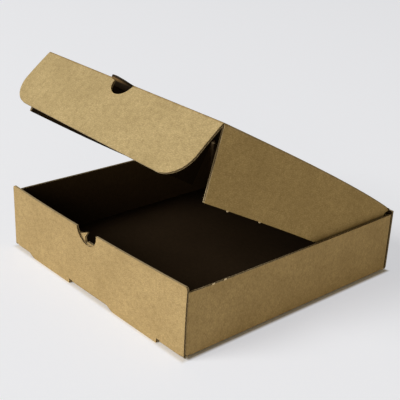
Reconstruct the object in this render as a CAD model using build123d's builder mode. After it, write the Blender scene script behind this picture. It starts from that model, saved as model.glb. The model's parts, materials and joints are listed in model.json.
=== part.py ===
from build123d import *
import math
import os

# Board
board = 1.6
fold_inner_radius = 0.4
layer_gap = 0.2
overrun = 1.0

# Tray, measured over the outer faces
box_width = 203.0
box_depth = 203.0
front_wall_height = 50.0
back_wall_height = 49.0
side_wall_height = 46.0
wall_end_proud = 0.2
wall_corner_radius = 2.0

# Corner flaps that fold in from the side walls, behind the front and back walls
corner_flap_top_drop = 1.6
corner_flap_floor_gap = 0.3
left_flap_end = -9.0
right_flap_end = -6.5
rear_flap_end = 9.0
finger_relief_drop = 4.4
finger_relief_length = 15.0
finger_relief_slope = 4.0
lifted_corner_base = 4.0
lifted_corner_reach = 4.2
lifted_corner_rise = 3.5
lifted_corner_depth = 1.4

# Lock tabs, the slots in the bottom's creases and the lips that cover them
lip_inner_end = 27.0
lip_outer_end = 74.0
lip_left_slant = 9.0
lip_depth = 1.6
slot_gap_left = 1.0
slot_gap_right = 3.6
slot_clearance = 0.3
lock_tab_end_gap = 2.0
lock_tab_reach = 0.8
lock_tab_taper = 1.2

# Finger notch in the front wall, a little left of the middle
finger_notch_radius = 11.5
finger_notch_offset = -4.0

# Lid and its flaps
crease_gap = 0.3
lid_side_clearance = 2.4
lid_front_clearance = 0.25
lid_angle = 30.0
front_flap_side_inset = 1.0
front_flap_height = 44.5
front_flap_corner_radius = 20.0
front_flap_fold = 69.5
thumb_tab_radius = 9.7
thumb_tab_offset = -2.7
thumb_tab_clearance = 0.3
side_flap_height = 47.0
side_flap_rear_setback = 5.0
side_flap_front_setback = 1.6
side_flap_taper = 6.8
side_flap_splay = 1.5

# Sizes that follow from the ones above
half_width = box_width / 2
half_depth = box_depth / 2
half_board = board / 2
fold_outer_radius = fold_inner_radius + board
inner_half_depth = half_depth - board
corner_flap_face = inner_half_depth - layer_gap
corner_flap_back = corner_flap_face - board
corner_flap_bottom = fold_outer_radius + corner_flap_floor_gap
corner_flap_top = side_wall_height - corner_flap_top_drop
fold_start_x = half_width - fold_outer_radius
fold_start_y = corner_flap_face - fold_outer_radius
hinge_y = half_depth - half_board
hinge_z = back_wall_height - half_board
lid_reach = hinge_y + corner_flap_back - lid_front_clearance - half_board
lid_width = box_width - 2 * board - 2 * lid_side_clearance
front_flap_width = lid_width - 2 * front_flap_side_inset

# Directions in the open lid: across it, out to its front crease, and in towards the tray
lid_tilt = math.radians(lid_angle)
across = Vector(1, 0, 0)
outward = Vector(0, -math.cos(lid_tilt), math.sin(lid_tilt))
inward = Vector(0, -math.sin(lid_tilt), -math.cos(lid_tilt))
hinge_point = Vector(0, hinge_y, hinge_z)


def folded_strip(half_span, left_height, right_height):
    """Outline of a strip of board with both ends folded up, standing on the sketch's x axis."""
    inner_span = half_span - board
    with BuildLine() as outline:
        outer = FilletPolyline(
            (-half_span, left_height), (-half_span, 0), (half_span, 0), (half_span, right_height),
            radius=fold_outer_radius,
        )
        inner = FilletPolyline(
            (-inner_span, left_height), (-inner_span, board), (inner_span, board), (inner_span, right_height),
            radius=fold_inner_radius,
        )
        Line(outer @ 0, inner @ 0)
        Line(outer @ 1, inner @ 1)
    make_face(outline.edges())


def side_wrap(side, front_end, rear_end):
    """Plan of one side wall with its two corner flaps; side is 1 on the right and -1 on the left."""
    wall_face = side * half_width
    wall_back = side * (half_width - board)
    with BuildLine() as outline:
        outer = FilletPolyline(
            (front_end, -corner_flap_face), (wall_face, -corner_flap_face),
            (wall_face, corner_flap_face), (rear_end, corner_flap_face),
            radius=fold_outer_radius,
        )
        inner = FilletPolyline(
            (front_end, -corner_flap_back), (wall_back, -corner_flap_back),
            (wall_back, corner_flap_back), (rear_end, corner_flap_back),
            radius=fold_inner_radius,
        )
        Line(outer @ 0, inner @ 0)
        Line(outer @ 1, inner @ 1)
    make_face(outline.edges())


# Tray: bottom, four walls, corner flaps and lock tabs, folded from one piece
with BuildPart() as tray:
    # Bottom with the front and back walls folded up
    with BuildSketch(Plane.YZ):
        folded_strip(half_depth, front_wall_height, hinge_z)
    extrude(amount=half_width + wall_end_proud, both=True)

    # Bottom trimmed back to the side creases
    with BuildSketch(Plane.XY):
        for side in (-1, 1):
            with Locations((side * (fold_start_x + fold_outer_radius), 0)):
                Rectangle(2 * fold_outer_radius, 2 * (half_depth - fold_outer_radius))
    extrude(amount=fold_outer_radius, mode=Mode.SUBTRACT)

    # Side walls folded up from the bottom
    with BuildSketch(Plane.XZ):
        folded_strip(half_width, side_wall_height, side_wall_height)
    extrude(amount=fold_start_y, both=True)

    # Side walls wrapped round the corners into the corner flaps
    with BuildSketch(Plane.XY.offset(corner_flap_bottom)):
        side_wrap(1, right_flap_end, rear_flap_end)
        side_wrap(-1, left_flap_end, -rear_flap_end)
    extrude(amount=side_wall_height - corner_flap_bottom)

    # Corner flaps cut a little lower than the side walls
    with BuildSketch(Plane.XY.offset(corner_flap_top)):
        for end in (-1, 1):
            with Locations((0, end * (corner_flap_face + corner_flap_back) / 2)):
                Rectangle(2 * fold_start_x, board + layer_gap)
    extrude(amount=corner_flap_top_drop, mode=Mode.SUBTRACT)

    # Finger relief on the end of the right corner flap, behind the finger notch
    with BuildSketch(Plane.XZ.offset(corner_flap_back - layer_gap / 2)):
        with BuildLine():
            relief_floor = corner_flap_top - finger_relief_drop
            relief_end = right_flap_end + finger_relief_length
            Polyline(
                (right_flap_end - overrun, corner_flap_top + overrun),
                (right_flap_end - overrun, relief_floor),
                (relief_end, relief_floor),
                (relief_end + finger_relief_slope, corner_flap_top),
                (relief_end + finger_relief_slope, corner_flap_top + overrun),
                close=True,
            )
        make_face()
    extrude(amount=board + layer_gap, mode=Mode.SUBTRACT)

    # Lifted corner at the end of the left corner flap, seen through the finger notch
    with BuildSketch(Plane.XZ.offset(corner_flap_back)):
        with BuildLine():
            Polyline(
                (left_flap_end - lifted_corner_base, corner_flap_top - lifted_corner_depth),
                (left_flap_end - lifted_corner_base, corner_flap_top),
                (left_flap_end + lifted_corner_reach, corner_flap_top + lifted_corner_rise),
                (left_flap_end, corner_flap_top - lifted_corner_depth),
                close=True,
            )
        make_face()
    extrude(amount=board)

    # Slots on the front and back creases
    lip_length = lip_outer_end - lip_inner_end
    lip_centre_x = (lip_inner_end + lip_outer_end) / 2
    slot_inner_edge = corner_flap_back - slot_clearance
    slot_outer_edge = half_depth + overrun
    slot_length = lip_length + slot_gap_left + slot_gap_right
    slot_shift = (slot_gap_right - slot_gap_left) / 2
    slot_centre_y = (slot_inner_edge + slot_outer_edge) / 2
    with BuildSketch(Plane.XY.offset(-overrun)):
        for side in (-1, 1):
            for end in (-1, 1):
                with Locations((side * lip_centre_x + slot_shift, end * slot_centre_y)):
                    Rectangle(slot_length, slot_outer_edge - slot_inner_edge)
    extrude(amount=fold_outer_radius + overrun, mode=Mode.SUBTRACT)

    # Lips of the front and back walls, left straight where the slots were cut, with their left ends slanted
    with BuildSketch(Plane.XZ.offset(inner_half_depth)):
        with Locations((-lip_centre_x, 0), (lip_centre_x, 0)):
            Polygon(
                (-lip_length / 2 - lip_left_slant, fold_outer_radius),
                (-lip_length / 2 - lip_left_slant, 0),
                (-lip_length / 2, -lip_depth),
                (lip_length / 2, -lip_depth),
                (lip_length / 2, fold_outer_radius),
                align=None,
            )
    lips = extrude(amount=board)
    mirror(lips, about=Plane.XZ)

    # Lock tabs on the corner flaps, dropped through the slots
    tab_half_length = lip_length / 2 - lock_tab_end_gap
    tab_half_tip = tab_half_length - lock_tab_taper
    with BuildSketch(Plane.XZ.offset(corner_flap_back)):
        with Locations((-lip_centre_x, 0), (lip_centre_x, 0)):
            Polygon(
                (-tab_half_length, corner_flap_bottom),
                (-tab_half_tip, -lock_tab_reach),
                (tab_half_tip, -lock_tab_reach),
                (tab_half_length, corner_flap_bottom),
                align=None,
            )
    lock_tabs = extrude(amount=board)
    mirror(lock_tabs, about=Plane.XZ)

    # Finger notch in the front wall
    with BuildSketch(Plane.XZ.offset(half_depth - board - layer_gap / 2)):
        with Locations((finger_notch_offset, front_wall_height)):
            Circle(finger_notch_radius)
    extrude(amount=board + overrun, mode=Mode.SUBTRACT)

    # Front wall's two top corners, a little rounded
    front_wall_top_ends = tray.edges().filter_by(Axis.Y).group_by(Axis.Z)[-1].sort_by(Axis.X)
    fillet([front_wall_top_ends[0], front_wall_top_ends[-1]], wall_corner_radius)

    # Rounded crease along the top of the back wall, where the lid starts
    with BuildSketch(Plane.YZ):
        with Locations((hinge_y, hinge_z)):
            Circle(half_board)
    extrude(amount=lid_width / 2, both=True)

tray.part.label = "tray"

# Lid: one flat panel, rounded over at its creases, with the thumb tab left standing in its plane
lid_plane = Plane(origin=hinge_point, x_dir=across, z_dir=inward)
lid_section = Plane(origin=hinge_point, x_dir=across, z_dir=outward)
hinge_start = half_board + crease_gap
side_crease = lid_width / 2 - board

with BuildPart() as lid:
    # Panel's section, with the outer corners rounded over for the side flaps
    with BuildSketch(lid_section.offset(hinge_start)):
        with BuildLine():
            Line((-lid_width / 2, -half_board), (lid_width / 2, -half_board))
            CenterArc((side_crease, -half_board), board, 0, 90)
            Line((side_crease, half_board), (-side_crease, half_board))
            CenterArc((-side_crease, -half_board), board, 90, 90)
        make_face()
    extrude(amount=lid_reach - hinge_start)

    # Rounded front crease and the thumb tab
    with BuildSketch(Plane(origin=hinge_point, x_dir=outward, z_dir=across)):
        with Locations((lid_reach, 0)):
            Circle(half_board)
    extrude(amount=side_crease, both=True)
    with BuildSketch(lid_plane):
        with Locations((thumb_tab_offset, lid_reach)):
            Circle(thumb_tab_radius)
    extrude(amount=half_board, both=True)

lid.part.label = "lid"

# Front flap, folded down from the lid's front crease
flap_turn = math.radians(front_flap_fold)
front_crease = hinge_point + outward * lid_reach
flap_down = outward * math.cos(flap_turn) + inward * math.sin(flap_turn)
front_flap_plane = Plane(origin=front_crease, x_dir=across, z_dir=across.cross(flap_down))

with BuildPart() as lid_front_flap:
    with BuildSketch(front_flap_plane) as lid_front_flap_outline:
        with Locations((0, (hinge_start + front_flap_height) / 2)):
            Rectangle(front_flap_width, front_flap_height - hinge_start)
        fillet(lid_front_flap_outline.vertices().group_by(Axis.Y)[-1], front_flap_corner_radius)
        with Locations((thumb_tab_offset, 0)):
            Circle(thumb_tab_radius + thumb_tab_clearance, mode=Mode.SUBTRACT)
    extrude(amount=half_board, both=True)

lid_front_flap.part.label = "lid_front_flap"

# Side flaps, folded down from the lid's side creases
flap_lean = math.radians(90 - side_flap_splay)
right_crease = hinge_point + across * side_crease + inward * half_board
side_down = across * math.cos(flap_lean) + inward * math.sin(flap_lean)
side_flap_plane = Plane(origin=right_crease, x_dir=outward, z_dir=outward.cross(side_down))

with BuildPart() as lid_right_flap:
    side_flap_depth = side_flap_height - board
    side_flap_front = lid_reach - side_flap_front_setback
    with BuildSketch(side_flap_plane):
        with BuildLine():
            Polyline(
                (side_flap_rear_setback, crease_gap),
                (side_flap_front, crease_gap),
                (side_flap_front - side_flap_taper, side_flap_depth),
                (side_flap_rear_setback, side_flap_depth),
                close=True,
            )
        make_face()
    extrude(amount=board)

lid_right_flap.part.label = "lid_right_flap"

with BuildPart() as lid_left_flap:
    mirror(lid_right_flap.part, about=Plane.YZ)

lid_left_flap.part.label = "lid_left_flap"

# Each piece to its own file
os.makedirs("parts", exist_ok=True)
export_step(tray.part, "parts/tray.step")
export_step(lid.part, "parts/lid.step")
export_step(lid_front_flap.part, "parts/lid_front_flap.step")
export_step(lid_left_flap.part, "parts/lid_left_flap.step")
export_step(lid_right_flap.part, "parts/lid_right_flap.step")
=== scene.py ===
"""Pizza box, part open: thin fluted board, plain kraft outside and nearly black inside."""
import json
import math

import bmesh
import bpy
import numpy as np
from mathutils import Matrix, Vector
from mathutils.geometry import delaunay_2d_cdt


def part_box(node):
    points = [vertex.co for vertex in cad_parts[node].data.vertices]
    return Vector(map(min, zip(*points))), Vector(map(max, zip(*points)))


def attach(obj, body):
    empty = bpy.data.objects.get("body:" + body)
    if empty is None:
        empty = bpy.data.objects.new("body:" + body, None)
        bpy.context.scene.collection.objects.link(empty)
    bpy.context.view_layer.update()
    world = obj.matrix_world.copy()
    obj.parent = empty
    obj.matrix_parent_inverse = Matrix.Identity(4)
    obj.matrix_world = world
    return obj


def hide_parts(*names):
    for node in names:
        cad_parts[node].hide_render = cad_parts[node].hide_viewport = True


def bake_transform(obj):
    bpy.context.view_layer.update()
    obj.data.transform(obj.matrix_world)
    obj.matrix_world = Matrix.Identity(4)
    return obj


MM = 0.001

# The frame, and the box it fills before anything is dressed
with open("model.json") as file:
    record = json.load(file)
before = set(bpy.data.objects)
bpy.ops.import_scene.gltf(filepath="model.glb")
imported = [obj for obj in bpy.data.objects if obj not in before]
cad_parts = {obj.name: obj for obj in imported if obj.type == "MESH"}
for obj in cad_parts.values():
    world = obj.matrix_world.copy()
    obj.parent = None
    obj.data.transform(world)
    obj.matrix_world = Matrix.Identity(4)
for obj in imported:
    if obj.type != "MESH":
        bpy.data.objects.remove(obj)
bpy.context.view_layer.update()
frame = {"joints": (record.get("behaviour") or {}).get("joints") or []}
joints = {joint["name"]: joint for joint in frame["joints"]}
tray_low, tray_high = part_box("tray")

# Board: two liners with a fluted medium between them
BOARD = 1.6 * MM
HALF = BOARD / 2
LINER = 0.24 * MM
MEDIUM = 0.2 * MM
MEDIUM_CREST = HALF - LINER - MEDIUM / 2
FLUTE_PITCH = 3.2 * MM
FLUTE_RECESS = 0.5 * MM
FLUTE_STEP = 0.4 * MM
CUT_STEP = 2.0 * MM
CRUSHED_SLOPE = 0.1

# Spacing of the sheets' points, and the room that they keep from rims and from bend rows
GRID = 4.0 * MM
GRID_RIM_ROOM = 0.4 * GRID
GRID_ROW_ROOM = 0.2 * GRID
ROW_ROOM = 0.12 * MM
SHORTEST_EDGE = 0.01 * MM
PROBE = 0.05 * MM
STRAIGHT_BACK = 0.001
SHARPEST_MITRE = 0.5
MERGE_DISTANCE = 1e-9
SHARP_ANGLE = math.radians(35)
BEND_ROWS = 6
ARC_STEPS = 24
CORNER_STEPS = 4
NOTCH_STEPS = 40
THUMB_STEPS = 36
LIP_STEPS = 6
SIDE_STEPS = 10

# Tray, over its outer faces, with its folds' middle radius
BOX_HALF = 101.5 * MM
WALL_END = tray_high.x
BACK_END = 101.2 * MM
WALL_CORNER = 2.0 * MM
FRONT_TOP = tray_high.z
BACK_TOP = 48.2 * MM
SIDE_TOP = 46.0 * MM
FOLD = 1.1 * MM
LAYER_GAP = 0.2 * MM
FLAP_BOTTOM = 2.3 * MM
FLAP_TOP = 44.4 * MM
LEFT_FLAP_END = 6.4 * MM
RIGHT_FLAP_END = -3.9 * MM
REAR_FLAP_END = 9.0 * MM
NOTCH_RADIUS = 11.5 * MM
NOTCH_X = -1.3 * MM

# Finger relief on the right corner flap and lifted corner on the left one
RELIEF_DROP = 4.4 * MM
RELIEF_LENGTH = 15.0 * MM
RELIEF_SLOPE = 4.0 * MM
HOOK_BASE = 4.0 * MM
HOOK_REACH = 4.2 * MM
HOOK_RISE = 3.5 * MM
HOOK_DEPTH = 1.4 * MM

# Lips, slots and lock tabs on the front and back creases
LIP_INNER = 27.0 * MM
LIP_OUTER = 74.0 * MM
LIP_SLANT = 11.0 * MM
SLOT_GAP_LEFT = 1.0 * MM
SLOT_GAP_RIGHT = 3.6 * MM
SLOT_CLEARANCE = 0.3 * MM
TAB_END_GAP = 2.0 * MM
TAB_REACH = 0.8 * MM
TAB_TAPER = 1.2 * MM

# Torn nicks that held the blank in its sheet: on the right wall's top edge and the right flap's lower edge
WALL_NICKS = (-79.0 * MM, -69.0 * MM)
FLAP_NICKS = (168.0 * MM, 134.0 * MM)
TEAR = ((-0.9, -0.3), (-0.7, 0.3), (-0.2, 0.75), (0.1, 0.45), (0.6, 0.85), (1.0, 0.2), (0.9, -0.3))
TEAR_THICK = 0.45 * MM
TEAR_CURL = 0.5

# Lid and its flaps, from the joints' places
LID_HINGE = Vector(joints["lid_hinge"]["pos_m"])
FRONT_HINGE = Vector(joints["front_flap_fold"]["pos_m"])
LID_ANGLE = math.atan2(FRONT_HINGE.z - LID_HINGE.z, LID_HINGE.y - FRONT_HINGE.y)
LID_REACH = (FRONT_HINGE - LID_HINGE).length
SIDE_AXIS = joints["right_flap_fold"]["pos_m"][0] + HALF
LID_HALF = 97.5 * MM
CREASE = 0.9 * MM
FRONT_FOLD = math.radians(70.0)
FRONT_HALF_WIDTH = 96.5 * MM
FRONT_HEIGHT = 44.5 * MM
FRONT_LEFT_RISE = 1.3 * MM
FRONT_CORNER = 20.0 * MM
THUMB_RADIUS = 9.7 * MM
THUMB_GAP = 0.3 * MM
THUMB_X = -2.7 * MM
SIDE_REAR = 3.6 * MM
SIDE_REAR_TOP = 0.4 * MM
SIDE_REAR_CHAMFER = 4.0 * MM
SIDE_FRONT_SETBACK = 0.4 * MM
SIDE_TAPER = 6.9 * MM
SIDE_REAR_HEIGHTS = {1: 45.4 * MM, -1: 46.8 * MM}
SIDE_FRONT_HEIGHTS = {1: 47.4 * MM, -1: 45.2 * MM}
SIDE_ROUNDS = {1: 0.0, -1: 2.0 * MM}

# Painted sheen: a lighter brown patch on the underside of the thumb tab, standing in for the sheen of the
# lining at a grazing view
SHEEN_X = THUMB_X - 4.0 * MM
SHEEN_Y = LID_REACH + THUMB_RADIUS
SHEEN_RADIUS = 13.0 * MM
SHEEN_COLOUR = (0.46, 0.30, 0.13)

# How the worn board departs from flat and square
FRONT_LEAN_LEFT = -0.2 * MM
FRONT_LEAN_RIGHT = 1.2 * MM
FRONT_BULGE = 2.6 * MM
FRONT_CURL_POWER = 2.6
FRONT_ZONE = (-88.0 * MM, -97.0 * MM)
SIDE_ZONE = (95.0 * MM, 100.0 * MM)
SIDE_LEAN = 0.5 * MM
SIDE_SAG = 0.5 * MM
SKEW = -0.5 * MM
LID_BOW = 2.1 * MM
LID_BOW_POWER = 0.71
LID_LIFT = 0.75 * MM
LID_TWIST = -1.5 * MM
LID_NARROWING = 1.1 * MM
FRONT_FLAP_BULGE = 0.6 * MM
THUMB_LIFT = 1.3 * MM
THUMB_CURL_POWER = 1.5
SPLAY_REAR = math.radians(0.4)
SPLAY_FRONTS = {1: math.radians(4.9), -1: math.radians(4.5)}
SPLAY_FROM = 80.0 * MM

across = Vector((1, 0, 0))
outward = Vector((0, -math.cos(LID_ANGLE), math.sin(LID_ANGLE)))
inward = Vector((0, -math.sin(LID_ANGLE), -math.cos(LID_ANGLE)))
flap_down = outward * math.cos(FRONT_FOLD) + inward * math.sin(FRONT_FOLD)
flap_out = outward * math.sin(FRONT_FOLD) - inward * math.cos(FRONT_FOLD)


# Small helpers
def ease(low, high, value):
    share = min(max((value - low) / (high - low), 0.0), 1.0)
    return share * share * (3 - 2 * share)


def arc(centre, radius, start, end, count=ARC_STEPS):
    """Points of an arc in flat coordinates, from the start angle to the end angle in degrees."""
    turns = [math.radians(start + (end - start) * k / count) for k in range(count + 1)]
    return [(centre[0] + radius * math.cos(turn), centre[1] + radius * math.sin(turn)) for turn in turns]


def cut(points):
    return [(x, y, "cut") for x, y in points]


def bend_rows(axis, start, length, low, high):
    """Rows of points across a bend, so that the board is smooth where it curves."""
    return [(axis, start + length * k / BEND_ROWS, low, high) for k in range(BEND_ROWS + 1)]


# Grain of the paper: its noises, and the span of each noise that shows with its greatest share
PAPER_ROUGHNESS = 0.85
PAPER_GLOSS = 0.2
LINING_GLOSS = 0.06
FIBRE_NOISE = {"scale": 620.0, "stretch": 2.6, "detail": 3.0, "roughness": 0.65}
MOTTLE_NOISE = {"scale": 230.0, "stretch": 1.4}
CLOUD_NOISE = {"scale": 34.0}
FLECK_NOISE = {"scale": 1500.0, "stretch": 1.8, "detail": 0.0}
FIBRE_SPAN = (0.45, 0.8, 0.8)
MOTTLE_SPAN = (0.3, 0.7, 0.55)
CLOUD_SPAN = (0.35, 0.75, 0.35)
FLECK_SPAN = (0.72, 0.8, 0.6)
WASHBOARD_SCALE = math.pi / (10 * FLUTE_PITCH)
WASHBOARD_DISTORTION = 0.4
WASHBOARD_SHARE = 0.8
BUMP_STRENGTH = 0.5
BUMP_HEIGHT = 0.012 * MM


# Materials
def node(tree, kind, **values):
    made = tree.nodes.new(kind)
    for key, value in values.items():
        setattr(made, key, value)
    return made


def noise(tree, vector, scale, stretch=1.0, detail=2.0, roughness=0.5):
    """Noise in flat coordinates; stretch is above 1 for grains that are longer across the box."""
    mapping = node(tree, "ShaderNodeMapping")
    mapping.inputs["Scale"].default_value = (1.0, stretch, 1.0)
    tree.links.new(vector, mapping.inputs["Vector"])
    made = node(tree, "ShaderNodeTexNoise")
    made.inputs["Scale"].default_value = scale
    made.inputs["Detail"].default_value = detail
    made.inputs["Roughness"].default_value = roughness
    tree.links.new(mapping.outputs["Vector"], made.inputs["Vector"])
    return made.outputs["Fac"]


def between(tree, value, low, high, most=1.0):
    """The value's share of the way from low to high, times most."""
    made = node(tree, "ShaderNodeMapRange")
    made.inputs["From Min"].default_value = low
    made.inputs["From Max"].default_value = high
    made.inputs["To Max"].default_value = most
    tree.links.new(value, made.inputs["Value"])
    return made.outputs["Result"]


def mixed(tree, share, first, second):
    made = node(tree, "ShaderNodeMix", data_type="RGBA")
    colours = [socket for socket in made.inputs if socket.type == "RGBA"]
    for socket, value in zip(colours, (first, second)):
        if isinstance(value, tuple):
            socket.default_value = (*value, 1)
        else:
            tree.links.new(value, socket)
    tree.links.new(share, made.inputs["Factor"])
    return next(socket for socket in made.outputs if socket.type == "RGBA")


def added(tree, first, first_weight, second):
    """first times its weight, plus second."""
    made = node(tree, "ShaderNodeMath", operation="MULTIPLY_ADD")
    tree.links.new(first, made.inputs[0])
    made.inputs[1].default_value = first_weight
    tree.links.new(second, made.inputs[2])
    return made.outputs[0]


def painted_sheen(tree, flat, colour):
    """Fades the colour to a lighter brown at the thumb tab, in the lid's own flat coordinates: a painted
    sheen.
    """
    distance = node(tree, "ShaderNodeVectorMath", operation="DISTANCE")
    tree.links.new(flat, distance.inputs[0])
    distance.inputs[1].default_value = (SHEEN_X, SHEEN_Y, 0)
    return mixed(tree, between(tree, distance.outputs["Value"], SHEEN_RADIUS, 0.0), colour, SHEEN_COLOUR)


def toned(colours, tone):
    """The colours, each channel times the tone's."""
    return [tuple(value * share for value, share in zip(colour, tone)) for colour in colours]


def paper(name, base, dark, light, gloss=PAPER_GLOSS, sheen=False):
    """Paper with fibres, mottling, flecks and the faint washboard of the flutes beneath."""
    material = bpy.data.materials.new(name)
    material.use_nodes = True
    tree = material.node_tree
    shader = tree.nodes["Principled BSDF"]
    shader.inputs["Roughness"].default_value = PAPER_ROUGHNESS
    shader.inputs["Specular IOR Level"].default_value = gloss
    flat = node(tree, "ShaderNodeUVMap", uv_map="flat").outputs["UV"]

    fibres = noise(tree, flat, **FIBRE_NOISE)
    mottle = noise(tree, flat, **MOTTLE_NOISE)
    cloud = noise(tree, flat, **CLOUD_NOISE)
    flecks = noise(tree, flat, **FLECK_NOISE)
    colour = mixed(tree, between(tree, mottle, *MOTTLE_SPAN), base, dark)
    colour = mixed(tree, between(tree, fibres, *FIBRE_SPAN), colour, light)
    colour = mixed(tree, between(tree, cloud, *CLOUD_SPAN), colour, dark)
    colour = mixed(tree, between(tree, flecks, *FLECK_SPAN), colour, dark)
    # Painted sheen at the thumb tab, on the lid's lining
    if sheen:
        colour = painted_sheen(tree, flat, colour)
    tree.links.new(colour, shader.inputs["Base Color"])

    wave = node(tree, "ShaderNodeTexWave", bands_direction="Y")
    wave.inputs["Scale"].default_value = WASHBOARD_SCALE
    wave.inputs["Distortion"].default_value = WASHBOARD_DISTORTION
    tree.links.new(flat, wave.inputs["Vector"])
    bump = node(tree, "ShaderNodeBump")
    bump.inputs["Strength"].default_value = BUMP_STRENGTH
    bump.inputs["Distance"].default_value = BUMP_HEIGHT
    tree.links.new(added(tree, wave.outputs["Fac"], WASHBOARD_SHARE, fibres), bump.inputs["Height"])
    tree.links.new(bump.outputs["Normal"], shader.inputs["Normal"])
    return material


# Papers, each from its base, dark and light colours
KRAFT_COLOURS = ((0.50, 0.358, 0.162), (0.30, 0.205, 0.082), (0.79, 0.59, 0.32))
# Painted sheen: the front flap's copy of the kraft is paler and less saturated, standing in for the sheen
# that the light gives that face
FRONT_FLAP_SHEEN_TONE = (1.04, 1.10, 1.16)
# Painted shade: the side flaps' copy of the kraft is darker, standing in for the shade on those faces
SIDE_FLAP_SHADE_TONE = (0.91, 0.90, 0.82)
KRAFT = paper("kraft_outside", *KRAFT_COLOURS)
KRAFT_FRONT_SHEEN = paper("kraft_front_flap", *toned(KRAFT_COLOURS, FRONT_FLAP_SHEEN_TONE))
KRAFT_SIDE_SHADED = paper("kraft_side_flaps", *toned(KRAFT_COLOURS, SIDE_FLAP_SHADE_TONE))
DARK = ((0.038, 0.0235, 0.0115), (0.024, 0.0145, 0.007), (0.058, 0.037, 0.019))
# Painted light and shade in the lining: the copy on the tray's bottom is darker, and the copies on the
# walls and the lid are lighter, for how the light falls inside
BOTTOM_SHADE_TONE = (0.85, 0.82, 0.78)
WALL_LIGHT_TONE = (1.6, 1.65, 1.7)
LINING = paper("dark_inside", *DARK, gloss=LINING_GLOSS)
BOTTOM_LINING_SHADED = paper("dark_inside_bottom", *toned(DARK, BOTTOM_SHADE_TONE), gloss=LINING_GLOSS)
WALL_LINING_LIT = paper("dark_inside_walls", *toned(DARK, WALL_LIGHT_TONE), gloss=LINING_GLOSS)
LID_LINING_LIT = paper("dark_inside_lid", *toned(DARK, WALL_LIGHT_TONE), gloss=LINING_GLOSS, sheen=True)
CUT = paper("cut_edge", (0.52, 0.40, 0.22), (0.36, 0.27, 0.14), (0.68, 0.54, 0.33))
# Painted shade: the flute paper is coloured far darker than paper, standing in for the shade deep inside
# open flutes
FLUTE_SHADE = paper("flute_paper", (0.15, 0.102, 0.047), (0.10, 0.068, 0.031), (0.21, 0.15, 0.073))
# Painted shade: the thumb tab's cut rim is coloured near black, standing in for the shadow along it
TAB_CUT_SHADE = paper("cut_edge_tab", (0.04, 0.026, 0.012), (0.025, 0.016, 0.008), (0.065, 0.043, 0.021))
FIBRE = paper("torn_fibre", (0.74, 0.60, 0.38), (0.58, 0.44, 0.24), (0.85, 0.73, 0.52))


# Board as a closed sheet, cut to an outline in flat coordinates and put where the fold takes it
def inside(points, loops):
    """Which of the points lie on the board, by counting the rims that a ray to the right crosses."""
    starts = np.array([point for loop in loops for point in loop])
    ends = np.array([point for loop in loops for point in loop[1:] + loop[:1]])
    rises = ends[:, 1] - starts[:, 1]
    slopes = (ends[:, 0] - starts[:, 0]) / np.where(rises == 0, 1, rises)
    found = []
    for x, y in points:
        crossed = (starts[:, 1] > y) != (ends[:, 1] > y)
        found.append(np.sum(crossed & (x < starts[:, 0] + (y - starts[:, 1]) * slopes)) % 2 == 1)
    return found


def resample(outline, wave_axis):
    """The outline's points at the spacing that its cut edges need, each with its edge's kind. A cut along
    the flutes crushes the board, so that no wave shows on it."""
    points = []
    for (x0, y0, kind), (x1, y1, _) in zip(outline, outline[1:] + outline[:1]):
        length = math.hypot(x1 - x0, y1 - y0)
        if length < SHORTEST_EDGE:
            continue
        crossing = abs((x1 - x0, y1 - y0)[wave_axis]) / length
        if kind == "cut" and crossing < CRUSHED_SLOPE:
            kind = "crushed"
        step = min(FLUTE_STEP / crossing, CUT_STEP) if kind == "cut" else CUT_STEP
        count = math.ceil(length / step)
        for k in range(count):
            share = k / count
            points.append((x0 + (x1 - x0) * share, y0 + (y1 - y0) * share, kind))
    return points


def recess_offsets(points, loops):
    """From each point of a rim, the way into the board, mitred at corners."""
    ways, mitres, probes = [], [], []
    for before, here, after in zip(points[-1:] + points[:-1], points, points[1:] + points[:1]):
        first = Vector((here[0] - before[0], here[1] - before[1])).normalized()
        second = Vector((after[0] - here[0], after[1] - here[1])).normalized()
        square = Vector((-first.y, first.x))
        way = Vector((-(first + second).y, (first + second).x))
        way = way.normalized() if way.length > STRAIGHT_BACK else square
        ways.append(way)
        mitres.append(1 / max(SHARPEST_MITRE, way.dot(square)))
        probes.append((here[0] + way.x * PROBE, here[1] + way.y * PROBE))
    into = [1 if held else -1 for held in inside(probes, loops)]
    return [way * (mitre * sign * FLUTE_RECESS) for way, mitre, sign in zip(ways, mitres, into)]


def inner_points(loops, rows):
    """Points inside the outline, along the given rows and on a plain grid between them, and the pairs of
    neighbours on a row, which the triangles must keep to."""
    border = np.array([point for loop in loops for point in loop])

    def clear(point, room):
        return np.min(np.hypot(border[:, 0] - point[0], border[:, 1] - point[1])) > room

    candidates, links = [], []
    for axis, value, start, end in rows:
        count = max(1, round((end - start) / GRID))
        was_clear = False
        for k in range(1, count):
            along = start + (end - start) * k / count
            point = (value, along) if axis == 0 else (along, value)
            is_clear = clear(point, ROW_ROOM)
            if is_clear:
                candidates.append(point)
                if was_clear:
                    links.append((len(candidates) - 2, len(candidates) - 1))
            was_clear = is_clear
    low, high = border.min(axis=0), border.max(axis=0)
    counts = [max(2, round((high[axis] - low[axis]) / GRID)) for axis in (0, 1)]
    for i in range(1, counts[0]):
        for j in range(1, counts[1]):
            point = tuple(low + (high - low) * (i / counts[0], j / counts[1]))
            near_row = any(abs(point[axis] - value) < GRID_ROW_ROOM for axis, value, _, _ in rows)
            if not near_row and clear(point, GRID_RIM_ROOM):
                candidates.append(point)
    held = inside(candidates, loops)
    places = np.cumsum(held) - 1
    points = [point for point, kept in zip(candidates, held) if kept]
    return points, [(int(places[a]), int(places[b])) for a, b in links if held[a] and held[b]]


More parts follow.
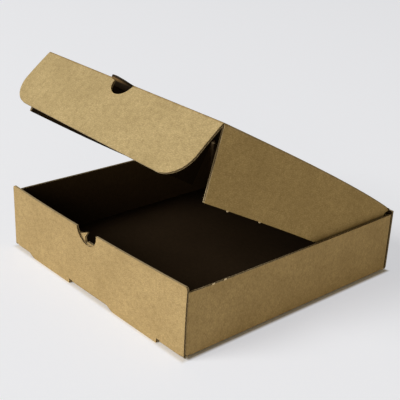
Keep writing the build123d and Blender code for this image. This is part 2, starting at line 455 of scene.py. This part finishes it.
def triangulated(loops, rows):
    """The board's flat points, the triangles between them, and each rim point's number among them."""
    flat, edges = [], []
    for loop in loops:
        start = len(flat)
        flat += loop
        edges += [(start + k, start + (k + 1) % len(loop)) for k in range(len(loop))]
    points, links = inner_points(loops, rows)
    edges += [(len(flat) + a, len(flat) + b) for a, b in links]
    flat_vectors = [Vector(point) for point in flat + points]
    found, _, triangles, origins, _, _ = delaunay_2d_cdt(flat_vectors, edges, [], 0, MERGE_DISTANCE)
    numbers = {old: new for new, olds in enumerate(origins) for old in olds}
    centres = [sum((found[k] for k in triangle), Vector((0, 0))) / len(triangle) for triangle in triangles]
    return found, [triangle for triangle, held in zip(triangles, inside(centres, loops)) if held], numbers


def new_piece(name, vertices, faces, flat_places, materials):
    """An object with its faces turned outwards and its flat places as texture coordinates."""
    mesh = bpy.data.meshes.new(name)
    mesh.from_pydata(vertices, [], faces)
    layer = mesh.uv_layers.new(name="flat")
    for corner in mesh.loops:
        layer.data[corner.index].uv = flat_places[corner.vertex_index]
    for material in materials:
        mesh.materials.append(material)
    work = bmesh.new()
    work.from_mesh(mesh)
    bmesh.ops.recalc_face_normals(work, faces=work.faces)
    work.to_mesh(mesh)
    work.free()
    piece = bpy.data.objects.new(name, mesh)
    bpy.context.scene.collection.objects.link(piece)
    return piece


# A sheet's materials by number, and the strips of a fluted rim that are cut paper: liner, medium, liner.
# The strips between them lie in the recess and take the flute colour, which holds painted shade
OUTER_FACE, INNER_FACE, CUT_FACE, FLUTE_FACE = range(4)
CUT_STRIPS = (0, 4, 8)


def board_sheet(name, outline, place, holes=(), rows=(), wave_axis=1, materials=None):
    """A closed sheet of board. Each point of the outline and the holes has the kind of the edge that
    starts there, a cut or a crease. place(x, y, h) gives the point at flat coordinates x, y and height h
    above the middle of the board, above zero on the outside. The flutes' wave shows along wave_axis."""
    rings = [resample(ring, wave_axis) for ring in (outline, *holes)]
    loops = [[(x, y) for x, y, _ in ring] for ring in rings]
    points, triangles, numbers = triangulated(loops, rows)
    vertices, flat_places, faces, surfaces = [], [], [], []

    def add(x, y, h):
        vertices.append(tuple(place(x, y, h)))
        flat_places.append((x, y))
        return len(vertices) - 1

    def fluted_profile(x, y, offset, top, bottom):
        """Vertices across a cut edge: the two liners' ends, and the wave of the medium between them."""
        middle = MEDIUM_CREST * math.sin(2 * math.pi * (x, y)[wave_axis] / FLUTE_PITCH)
        deep_x, deep_y = x + offset.x, y + offset.y
        return [
            top,
            add(x, y, HALF - LINER),
            add(deep_x, deep_y, HALF - LINER),
            add(deep_x, deep_y, middle + MEDIUM / 2),
            add(x, y, middle + MEDIUM / 2),
            add(x, y, middle - MEDIUM / 2),
            add(deep_x, deep_y, middle - MEDIUM / 2),
            add(deep_x, deep_y, LINER - HALF),
            add(x, y, LINER - HALF),
            bottom,
        ]

    outer = [add(point.x, point.y, HALF) for point in points]
    inner = [add(point.x, point.y, -HALF) for point in points]
    for triangle in triangles:
        faces += [[outer[k] for k in triangle], [inner[k] for k in reversed(triangle)]]
        surfaces += [OUTER_FACE, INNER_FACE]

    # Rims: fluted where the board is cut, and one plain strip at a crease or a crushed cut
    start = 0
    for ring in rings:
        profiles = []
        for k, offset in enumerate(recess_offsets(ring, loops)):
            x, y, kind = ring[k]
            top, bottom = outer[numbers[start + k]], inner[numbers[start + k]]
            if "cut" in (kind, ring[k - 1][2]):
                profiles.append(fluted_profile(x, y, offset, top, bottom))
            else:
                profiles.append([top, bottom])
        for k in range(len(ring)):
            here, after = profiles[k], profiles[(k + 1) % len(ring)]
            starts_cut, was_cut = ring[k][2] == "cut", ring[k - 1][2] == "cut"
            if starts_cut:
                for row in range(len(here) - 1):
                    faces.append([here[row], after[row], after[row + 1], here[row + 1]])
                    surfaces.append(CUT_FACE if row in CUT_STRIPS else FLUTE_FACE)
            else:
                faces.append([here[0], after[0], after[-1], here[-1]])
                surfaces.append(CUT_FACE if ring[k][2] == "crushed" else INNER_FACE)
            if was_cut != starts_cut:
                faces.append(here)
                surfaces.append(FLUTE_FACE)
        start += len(ring)

    sheet = new_piece(name, vertices, faces, flat_places, materials or (KRAFT, LINING, CUT, FLUTE_SHADE))
    sheet.data.polygons.foreach_set("material_index", surfaces)
    sheet.data.polygons.foreach_set("use_smooth", [True] * len(faces))
    sheet.data.set_sharp_from_angle(angle=SHARP_ANGLE)
    return sheet


# Where the tray's board lies once folded
MID_SPAN = BOX_HALF - HALF
FLAT_END = MID_SPAN - FOLD
FOLD_LENGTH = FOLD * math.pi / 2
WALL_START = FLAT_END + FOLD_LENGTH
WALL_FOOT = HALF + FOLD
WRAP_SPAN = BOX_HALF - BOARD - LAYER_GAP - HALF
WRAP_FLAT = WRAP_SPAN - FOLD
WRAP_START = WRAP_FLAT + FOLD_LENGTH


def wall_position(height):
    """Flat position of a point at this height on a folded wall."""
    return WALL_START + height - WALL_FOOT


def wrap_position(x):
    """Flat position along a side wrap of a corner flap's point at this distance from the middle."""
    return WRAP_START + FLAT_END - x


def folded(position):
    """At a flat position out from the middle: the distance out, the height and the outward normal."""
    if position <= FLAT_END:
        return position, HALF, 0.0, -1.0
    if position <= WALL_START:
        turn = (position - FLAT_END) / FOLD
        sine, cosine = math.sin(turn), math.cos(turn)
        return FLAT_END + FOLD * sine, HALF + FOLD * (1 - cosine), sine, -cosine
    return MID_SPAN, WALL_FOOT + position - WALL_START, 1.0, 0.0


def settle(x, y, z):
    """The tray's small departures from square: a front wall that bulges and leans, and soft side walls."""
    at_front = ease(*FRONT_ZONE, y)
    at_side = ease(*SIDE_ZONE, abs(x)) * (1 - at_front)
    rise = max(z, 0.0) / FRONT_TOP
    lean = FRONT_LEAN_LEFT + (FRONT_LEAN_RIGHT - FRONT_LEAN_LEFT) * ease(-BOX_HALF, BOX_HALF, x)
    lean -= FRONT_BULGE * (1 - min(abs(x) / BOX_HALF, 1.0) ** 2)
    sag = SIDE_SAG * at_side * math.sin(math.pi * min(max(y / BOX_HALF / 2 + 0.5, 0.0), 1.0))
    return Vector((
        x + SKEW * y / BOX_HALF + math.copysign(SIDE_LEAN * at_side * rise, x),
        y + lean * at_front * rise ** FRONT_CURL_POWER,
        z - sag * rise,
    ))


def place_strip(x, y, h):
    """The front wall, bottom and back wall: y runs along the strip, from the middle of the bottom."""
    out, height, normal_out, normal_up = folded(abs(y))
    return settle(x, math.copysign(out + normal_out * h, y), height + normal_up * h)


def place_side(side):
    """A side wall with its corner flaps: x runs out and up the wall, y along it and round the corners."""
    def place(x, y, h):
        along = abs(y)
        if along <= WRAP_FLAT:
            out, height, normal_out, normal_up = folded(x)
            return settle(side * (out + normal_out * h), y, height + normal_up * h)
        height = WALL_FOOT + x - WALL_START
        if along <= WRAP_START:
            turn = (along - WRAP_FLAT) / FOLD
            reach = FOLD + h
            round_y = WRAP_FLAT + reach * math.sin(turn)
            return settle(side * (FLAT_END + reach * math.cos(turn)), math.copysign(round_y, y), height)
        return settle(side * (FLAT_END + WRAP_START - along), math.copysign(WRAP_SPAN + h, y), height)

    return place


# Tray's pieces
def lip_ends(side):
    return sorted((side * LIP_INNER, side * LIP_OUTER))


def tray_strip():
    """Front wall, bottom and back wall, with the finger notch and the four slots."""
    top = wall_position(FRONT_TOP)
    back_end = wall_position(BACK_TOP)
    back_crease = wall_position(BACK_TOP - HINGE_TAKE)
    corner_x, corner_y = WALL_END - WALL_CORNER, WALL_CORNER - top
    outline = cut(arc((-corner_x, corner_y), WALL_CORNER, 180, 270, CORNER_STEPS))
    outline += cut(arc((NOTCH_X, -top), NOTCH_RADIUS, 180, 0, NOTCH_STEPS))
    outline += cut(arc((corner_x, corner_y), WALL_CORNER, 270, 360, CORNER_STEPS))
    outline += cut([(WALL_END, -FLAT_END)])
    outline += [(FLAT_END, -FLAT_END, "crease"), (FLAT_END, FLAT_END, "cut")]
    outline += cut([(BACK_END, FLAT_END), (BACK_END, back_end), (LID_HALF, back_end)])
    outline += [(LID_HALF, back_crease, "crease"), (-LID_HALF, back_crease, "cut")]
    outline += cut([(-LID_HALF, back_end), (-BACK_END, back_end), (-BACK_END, FLAT_END)])
    outline += [(-FLAT_END, FLAT_END, "crease")]
    outline += cut([(-FLAT_END, -FLAT_END), (-WALL_END, -FLAT_END)])

    slots = []
    for end in (-1, 1):
        for side in (-1, 1):
            left, right = lip_ends(side)
            near, crease, far = WRAP_SPAN - HALF - SLOT_CLEARANCE, FLAT_END, WALL_START
            room = TAB_END_GAP - SLOT_CLEARANCE
            corners = [
                (left + room, near), (right - room, near), (right - room, crease),
                (right + SLOT_GAP_RIGHT, crease), (right + SLOT_GAP_RIGHT, far),
                (left - SLOT_GAP_LEFT, far), (left - SLOT_GAP_LEFT, crease), (left + room, crease),
            ]
            slots.append(cut([(x, end * y) for x, y in corners]))
    rows = bend_rows(1, FLAT_END, FOLD_LENGTH, -WALL_END, WALL_END)
    rows += bend_rows(1, -WALL_START, FOLD_LENGTH, -WALL_END, WALL_END)
    materials = (KRAFT, BOTTOM_LINING_SHADED, CUT, FLUTE_SHADE)
    return board_sheet("tray_bottom_and_walls", outline, place_strip, slots, rows, materials=materials)


def tray_lip(end, side, name):
    """A lip of the front or back wall, straight down past the crease, with its left end sloped."""
    left, right = lip_ends(side)
    outline = []
    for k in range(LIP_STEPS + 1):
        share = k / LIP_STEPS
        height = WALL_FOOT + (tray_low.z - WALL_FOOT) * ease(0, 1, share)
        outline.append((left - LIP_SLANT * (1 - share), height, "cut"))
    outline += [(right, tray_low.z, "cut"), (right, WALL_FOOT, "crease")]
    return board_sheet(name, outline, lambda x, z, h: settle(x, end * (MID_SPAN + h), z))


def lock_tab(end):
    """Outline of a lock tab along a corner flap's lower edge, from its far side to the corner's side."""
    low = wall_position(FLAP_BOTTOM)
    tip = wall_position(-TAB_REACH)
    inner = wrap_position(LIP_INNER + TAB_END_GAP)
    outer = wrap_position(LIP_OUTER - TAB_END_GAP)
    points = [(low, inner), (tip, inner - TAB_TAPER), (tip, outer + TAB_TAPER), (low, outer)]
    return cut([(x, end * y) for x, y in points])


def side_wrap(side, name):
    """A side wall with the corner flaps that fold in behind the front and back walls."""
    side_top = wall_position(SIDE_TOP)
    flap_top = wall_position(FLAP_TOP)
    flap_low = wall_position(FLAP_BOTTOM)
    wall_y = WRAP_FLAT + FOLD_LENGTH / 2
    front_end = -wrap_position(RIGHT_FLAP_END if side > 0 else LEFT_FLAP_END)
    rear_end = wrap_position(REAR_FLAP_END)
    outline = [(FLAT_END, WRAP_FLAT, "crease")]
    outline += cut([(FLAT_END, -WRAP_FLAT), (WALL_START, -WRAP_FLAT), (flap_low, -WRAP_START)])
    outline += lock_tab(-1)[::-1]
    outline += cut([(flap_low, front_end)])
    if side > 0:
        relief_end = front_end + RELIEF_LENGTH
        outline += cut([
            (flap_top - RELIEF_DROP, front_end), (flap_top - RELIEF_DROP, relief_end),
            (flap_top, relief_end + RELIEF_SLOPE),
        ])
    else:
        outline += cut([
            (flap_top - HOOK_DEPTH, front_end), (flap_top + HOOK_RISE, front_end - HOOK_REACH),
            (flap_top, front_end + HOOK_BASE),
        ])
    outline += cut([(flap_top, -WRAP_START - 2 * FOLD), (side_top, -wall_y)])
    outline += cut([(side_top, wall_y), (flap_top, WRAP_START + 2 * FOLD)])
    outline += cut([(flap_top, rear_end), (flap_low, rear_end)])
    outline += lock_tab(1)
    outline += cut([(flap_low, WRAP_START), (WALL_START, WRAP_FLAT)])

    rows = bend_rows(0, FLAT_END, FOLD_LENGTH, -WRAP_FLAT, WRAP_FLAT)
    rows += bend_rows(1, WRAP_FLAT, FOLD_LENGTH, flap_low, side_top)
    rows += bend_rows(1, -WRAP_START, FOLD_LENGTH, flap_low, side_top)
    materials = (KRAFT, WALL_LINING_LIT, CUT, FLUTE_SHADE)
    return board_sheet(name, outline, place_side(side), rows=rows, materials=materials)


# Where the lid's board lies
def lid_share(v):
    return min(max(v / LID_REACH, 0.0), 1.0)


def lid_width_scale(v):
    return 1 - LID_NARROWING * lid_share(v) / LID_HALF


def lid_rise(u, v):
    """How far the worn lid stands above its straight plane."""
    share = lid_share(v)
    rise = LID_BOW * math.sin(math.pi * share ** LID_BOW_POWER)
    return rise + (LID_LIFT + LID_TWIST * u / LID_HALF) * share ** 2


def place_lid(u, v, h):
    thumb = max(v - LID_REACH, 0.0) / THUMB_RADIUS
    rise = lid_rise(u, v) + THUMB_LIFT * thumb ** THUMB_CURL_POWER
    return LID_HINGE + across * (u * lid_width_scale(v)) + outward * v - inward * (rise + h)


def place_front_flap(u, depth, h):
    crease = FRONT_HINGE + across * (u * lid_width_scale(LID_REACH)) - inward * lid_rise(u, LID_REACH)
    bulge = FRONT_FLAP_BULGE * math.sin(math.pi * min(depth / FRONT_HEIGHT, 1.0))
    return crease + flap_down * depth + flap_out * (h + bulge)


def side_directions(side, v):
    """Down and out for a side flap at this place along its crease."""
    lean = SPLAY_REAR + (SPLAY_FRONTS[side] - SPLAY_REAR) * ease(SPLAY_FROM, LID_REACH, v)
    sideways = across * side
    down = inward * math.cos(lean) + sideways * math.sin(lean)
    out = sideways * math.cos(lean) - inward * math.sin(lean)
    return down, out


def side_crease_point(side, v):
    return place_lid(side * SIDE_AXIS, v, 0)


def place_side_flap(side):
    def place(v, depth, h):
        down, out = side_directions(side, v)
        return side_crease_point(side, v) + down * depth + out * h

    return place


# What each bend takes from the panels beside it
SIDE_TAKE = CREASE * math.tan((math.pi / 2 - max(SPLAY_FRONTS.values())) / 2)
HINGE_TAKE = CREASE * math.tan((math.pi / 2 - LID_ANGLE) / 2)
FRONT_TAKE = CREASE * math.tan(FRONT_FOLD / 2)


# Lid's pieces
def lid_panel():
    half = SIDE_AXIS - SIDE_TAKE
    front = LID_REACH - FRONT_TAKE
    below = math.degrees(math.asin(FRONT_TAKE / THUMB_RADIUS))
    tab = arc((THUMB_X, LID_REACH), THUMB_RADIUS, -below, 180 + below, THUMB_STEPS)
    outline = [(-half, HINGE_TAKE, "crease"), (half, HINGE_TAKE, "crease"), (half, front, "crease")]
    outline += cut(tab[:-1])
    outline += [(*tab[-1], "crease"), (-half, front, "crease")]
    return board_sheet("lid_panel", outline, place_lid, materials=(KRAFT, LID_LINING_LIT, TAB_CUT_SHADE, TAB_CUT_SHADE))


def front_flap():
    """The tuck-in flap, with the half-moon that the thumb tab leaves and two rounded corners."""
    radius = THUMB_RADIUS + THUMB_GAP
    above = math.degrees(math.asin(FRONT_TAKE / radius))
    moon = arc((THUMB_X, 0), radius, 180 - above, above, THUMB_STEPS)
    corner_u, corner_depth = FRONT_HALF_WIDTH - FRONT_CORNER, FRONT_HEIGHT - FRONT_CORNER
    left_corner = FRONT_CORNER - FRONT_LEFT_RISE
    outline = [(-FRONT_HALF_WIDTH, FRONT_TAKE, "crease")]
    outline += cut(moon[:-1])
    outline += [(*moon[-1], "crease"), (FRONT_HALF_WIDTH, FRONT_TAKE, "cut")]
    outline += cut(arc((corner_u, corner_depth), FRONT_CORNER, 0, 90))
    outline += cut(arc((left_corner - FRONT_HALF_WIDTH, corner_depth), left_corner, 90, 180))
    materials = (KRAFT_FRONT_SHEEN, LINING, CUT, FLUTE_SHADE)
    return board_sheet("front_flap_board", outline, place_front_flap, materials=materials)


def side_flap(side, name):
    front = LID_REACH - SIDE_FRONT_SETBACK
    outline = [(SIDE_REAR_TOP, SIDE_TAKE, "crease"), (front, SIDE_TAKE, "cut")]
    for k in range(SIDE_STEPS + 1):
        share = k / SIDE_STEPS
        v = front - SIDE_TAPER + (SIDE_REAR + SIDE_TAPER - front) * share
        depth = SIDE_FRONT_HEIGHTS[side] + (SIDE_REAR_HEIGHTS[side] - SIDE_FRONT_HEIGHTS[side]) * share
        outline.append((v, depth + SIDE_ROUNDS[side] * math.sin(math.pi * share), "cut"))
    outline += cut([(SIDE_REAR, SIDE_REAR_CHAMFER)])
    materials = (KRAFT_SIDE_SHADED, LINING, CUT, FLUTE_SHADE)
    return board_sheet(name, outline, place_side_flap(side), wave_axis=0, materials=materials)


def crease_strip(name, low, high, corner, first, second, wave_axis=1):
    """The bent board between two panels. At a place along the crease, corner gives the point where the
    two panels' middles would meet, and first and second give their outward normals."""
    def place(along, across_bend, h):
        start, end = first(along), second(along)
        angle = start.angle(end)
        turn = Matrix.Rotation(angle * across_bend / CREASE, 3, start.cross(end).normalized())
        centre = corner(along) - (start + end).normalized() * (CREASE / math.cos(angle / 2))
        return centre + turn @ start * (CREASE + h)

    outline = [(low, 0, "crease"), (high, 0, "cut"), (high, CREASE, "crease"), (low, CREASE, "cut")]
    rows = bend_rows(1, 0, CREASE, low, high)[1:-1]
    return board_sheet(name, outline, place, rows=rows, wave_axis=wave_axis)


def hinge_crease():
    return crease_strip(
        "lid_hinge_crease", -LID_HALF, LID_HALF,
        lambda u: LID_HINGE + across * u,
        lambda u: Vector((0, 1, 0)), lambda u: -inward,
    )


def front_crease(low, high, name):
    return crease_strip(
        name, low, high,
        lambda u: place_front_flap(u, 0, 0),
        lambda u: -inward, lambda u: flap_out,
    )


def side_crease(side, name):
    return crease_strip(
        name, HINGE_TAKE, LID_REACH - FRONT_TAKE,
        lambda v: side_crease_point(side, v),
        lambda v: -inward, lambda v: side_directions(side, v)[1],
        wave_axis=0,
    )


def torn_nick(name, place, along, up, out):
    """A torn bit of liner, curled outwards, standing on a cut edge."""
    vertices = []
    for level in (0, 1):
        for x, y in TEAR:
            curl = TEAR_CURL * max(y, 0) ** 2 * MM
            vertices.append(place + along * (x * MM) + up * (y * MM) + out * (curl - level * TEAR_THICK))
    count = len(TEAR)
    faces = [list(range(count)), list(range(count, 2 * count))]
    faces += [[k, (k + 1) % count, (k + 1) % count + count, k + count] for k in range(count)]
    return new_piece(name, vertices, faces, [(vertex.y, vertex.z) for vertex in vertices], (FIBRE,))


# Each piece on the body that carries it
tray_pieces = [tray_strip(), side_wrap(1, "right_side_wall"), side_wrap(-1, "left_side_wall")]
for end, end_name in ((-1, "front"), (1, "back")):
    for side, side_name in ((-1, "left"), (1, "right")):
        tray_pieces.append(tray_lip(end, side, "lip_%s_%s" % (end_name, side_name)))
for piece in tray_pieces:
    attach(piece, "tray")
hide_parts("tray")
for number, y in enumerate(WALL_NICKS):
    edge = place_side(1)(wall_position(SIDE_TOP), y, HALF)
    piece = torn_nick("torn_nick_wall_%d" % number, edge, Vector((0, 1, 0)), Vector((0, 0, 1)), across)
    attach(piece, "tray")
    tray_pieces.append(piece)

panel = lid_panel()
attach(panel, "lid")
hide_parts("lid")

tuck = front_flap()
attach(tuck, "front_flap")
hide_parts("lid_front_flap")

hinge = hinge_crease()
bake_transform(hinge)

thumb_half = math.sqrt(THUMB_RADIUS ** 2 - FRONT_TAKE ** 2)
front_creases = [
    front_crease(-FRONT_HALF_WIDTH, THUMB_X - thumb_half, "front_crease_left"),
    front_crease(THUMB_X + thumb_half, FRONT_HALF_WIDTH, "front_crease_right"),
]
for piece in front_creases:
    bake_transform(piece)

side_pieces = []
for side, body in ((-1, "left_flap"), (1, "right_flap")):
    flap = side_flap(side, body + "_board")
    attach(flap, body)
    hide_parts("lid_" + body)
    crease = side_crease(side, body + "_crease")
    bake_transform(crease)
    side_pieces += [flap, crease]
for number, v in enumerate(FLAP_NICKS):
    span = (v - SIDE_REAR) / (LID_REACH - SIDE_FRONT_SETBACK - SIDE_TAPER - SIDE_REAR)
    depth = SIDE_REAR_HEIGHTS[1] + (SIDE_FRONT_HEIGHTS[1] - SIDE_REAR_HEIGHTS[1]) * span
    down, out = side_directions(1, v)
    piece = torn_nick("torn_nick_flap_%d" % number, place_side_flap(1)(v, depth, HALF), outward, down, out)
    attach(piece, "right_flap")
    side_pieces.append(piece)


# Stage: a plain pale floor, lifted a little towards white where the camera sees it, except under the box
# and at its foot, where leaving the lift off paints shade on top of the real shadow
FLOOR_HALF = 8.0
FLOOR_COLOUR = (0.88, 0.88, 0.88)
FLOOR_SEEN = (1.0, 1.0, 1.0)
FLOOR_GLOW = (1.0, 1.03, 1.11)
FLOOR_GLOW_SHARE = 0.5
GLOW_FADE = 2.5 * MM
FLOOR_ROUGHNESS = 0.9
FLOOR_GLOSS = 0.1


def floor_material():
    material = bpy.data.materials.new("floor_pale")
    material.use_nodes = True
    tree = material.node_tree
    shader = tree.nodes["Principled BSDF"]
    shader.inputs["Roughness"].default_value = FLOOR_ROUGHNESS
    shader.inputs["Specular IOR Level"].default_value = FLOOR_GLOSS
    glow = node(tree, "ShaderNodeEmission")
    glow.inputs["Color"].default_value = (*FLOOR_GLOW, 1)
    place = node(tree, "ShaderNodeSeparateXYZ")
    tree.links.new(node(tree, "ShaderNodeNewGeometry").outputs["Position"], place.inputs[0])
    sizes = [node(tree, "ShaderNodeMath", operation="ABSOLUTE") for _ in range(2)]
    farthest = node(tree, "ShaderNodeMath", operation="MAXIMUM")
    for axis, size in enumerate(sizes):
        tree.links.new(place.outputs[axis], size.inputs[0])
        tree.links.new(size.outputs[0], farthest.inputs[axis])
    # Painted shade: the lift is left off under the box and fades in over GLOW_FADE beyond it, so the floor
    # at the box's foot is darker than its real shadow makes it
    lift_share_with_painted_foot_shade = between(tree, farthest.outputs[0], BOX_HALF, BOX_HALF + GLOW_FADE, FLOOR_GLOW_SHARE)
    seen = node(tree, "ShaderNodeLightPath").outputs["Is Camera Ray"]
    tree.links.new(mixed(tree, seen, FLOOR_COLOUR, FLOOR_SEEN), shader.inputs["Base Color"])
    share = node(tree, "ShaderNodeMath", operation="MULTIPLY")
    tree.links.new(seen, share.inputs[0])
    tree.links.new(lift_share_with_painted_foot_shade, share.inputs[1])
    mix = node(tree, "ShaderNodeMixShader")
    tree.links.new(share.outputs[0], mix.inputs[0])
    tree.links.new(shader.outputs[0], mix.inputs[1])
    tree.links.new(glow.outputs[0], mix.inputs[2])
    tree.links.new(mix.outputs[0], tree.nodes["Material Output"].inputs["Surface"])
    return material


floor_mesh = bpy.data.meshes.new("floor")
floor_corners = [(x * FLOOR_HALF, y * FLOOR_HALF) for x, y in ((-1, -1), (1, -1), (1, 1), (-1, 1))]
floor_mesh.from_pydata([(x, y, tray_low.z) for x, y in floor_corners], [], [(0, 1, 2, 3)])
floor_mesh.materials.append(floor_material())
floor = bpy.data.objects.new("floor", floor_mesh)
bpy.context.scene.collection.objects.link(floor)


# Light: a broad softbox from the front left, a warm dimmer one from the right and a dim even surround
SOFTBOX_SIZE = 3.5
KEY_PLACE = (-1.92, -5.46, 3.93)
KEY_POWER = 366.0
KEY_COLOUR = (1.0, 1.0, 1.0)
FILL_PLACE = (5.4, -4.3, 1.2)
FILL_POWER = 88.0
FILL_COLOUR = (1.0, 0.88, 0.64)
SURROUND_COLOUR = (1.0, 0.88, 0.66)
SURROUND_STRENGTH = 0.18
BACKDROP_COLOUR = (0.81, 0.82, 0.85)


def softbox(name, place, power, colour):
    data = bpy.data.lights.new(name, "AREA")
    data.shape = "DISK"
    data.size = SOFTBOX_SIZE
    data.energy = power
    data.color = colour
    lamp = bpy.data.objects.new(name, data)
    lamp.location = place
    lamp.rotation_euler = (-Vector(place)).to_track_quat("-Z", "Y").to_euler()
    bpy.context.scene.collection.objects.link(lamp)


def studio_world():
    """A dim warm surround that lights the box, and that the camera alone sees as a pale backdrop."""
    world = bpy.data.worlds.new("studio")
    world.use_nodes = True
    tree = world.node_tree
    surround = tree.nodes["Background"]
    surround.inputs["Color"].default_value = (*SURROUND_COLOUR, 1)
    surround.inputs["Strength"].default_value = SURROUND_STRENGTH
    backdrop = node(tree, "ShaderNodeBackground")
    backdrop.inputs["Color"].default_value = (*BACKDROP_COLOUR, 1)
    mix = node(tree, "ShaderNodeMixShader")
    tree.links.new(node(tree, "ShaderNodeLightPath").outputs["Is Camera Ray"], mix.inputs[0])
    tree.links.new(surround.outputs[0], mix.inputs[1])
    tree.links.new(backdrop.outputs[0], mix.inputs[2])
    tree.links.new(mix.outputs[0], tree.nodes["World Output"].inputs["Surface"])
    return world


softbox("key_softbox", KEY_PLACE, KEY_POWER, KEY_COLOUR)
softbox("fill_softbox", FILL_PLACE, FILL_POWER, FILL_COLOUR)
bpy.context.scene.world = studio_world()

# Camera at the photograph's viewing angle
CAMERA_PLACE = Vector((451.9, -406.3, 305.2)) * MM
CAMERA_YAW = math.radians(48.155)
CAMERA_PITCH = math.radians(22.996)
CAMERA_ROLL = math.radians(2.375)
PICTURE_WIDTH = 400
FOCAL_PIXELS = 877.55
SENSOR_WIDTH = 36.0

look = Vector((
    -math.sin(CAMERA_YAW) * math.cos(CAMERA_PITCH),
    math.cos(CAMERA_YAW) * math.cos(CAMERA_PITCH),
    -math.sin(CAMERA_PITCH),
))
level_right = Vector((math.cos(CAMERA_YAW), math.sin(CAMERA_YAW), 0))
level_up = level_right.cross(look)
right = level_right * math.cos(CAMERA_ROLL) + level_up * math.sin(CAMERA_ROLL)
up = level_up * math.cos(CAMERA_ROLL) - level_right * math.sin(CAMERA_ROLL)
camera_data = bpy.data.cameras.new("camera")
camera_data.sensor_width = SENSOR_WIDTH
camera_data.lens = SENSOR_WIDTH * FOCAL_PIXELS / PICTURE_WIDTH
camera = bpy.data.objects.new("camera", camera_data)
camera.matrix_world = Matrix.Translation(CAMERA_PLACE) @ Matrix((right, up, -look)).transposed().to_4x4()
bpy.context.scene.collection.objects.link(camera)
bpy.context.scene.camera = camera
bpy.context.scene.view_settings.view_transform = "Standard"
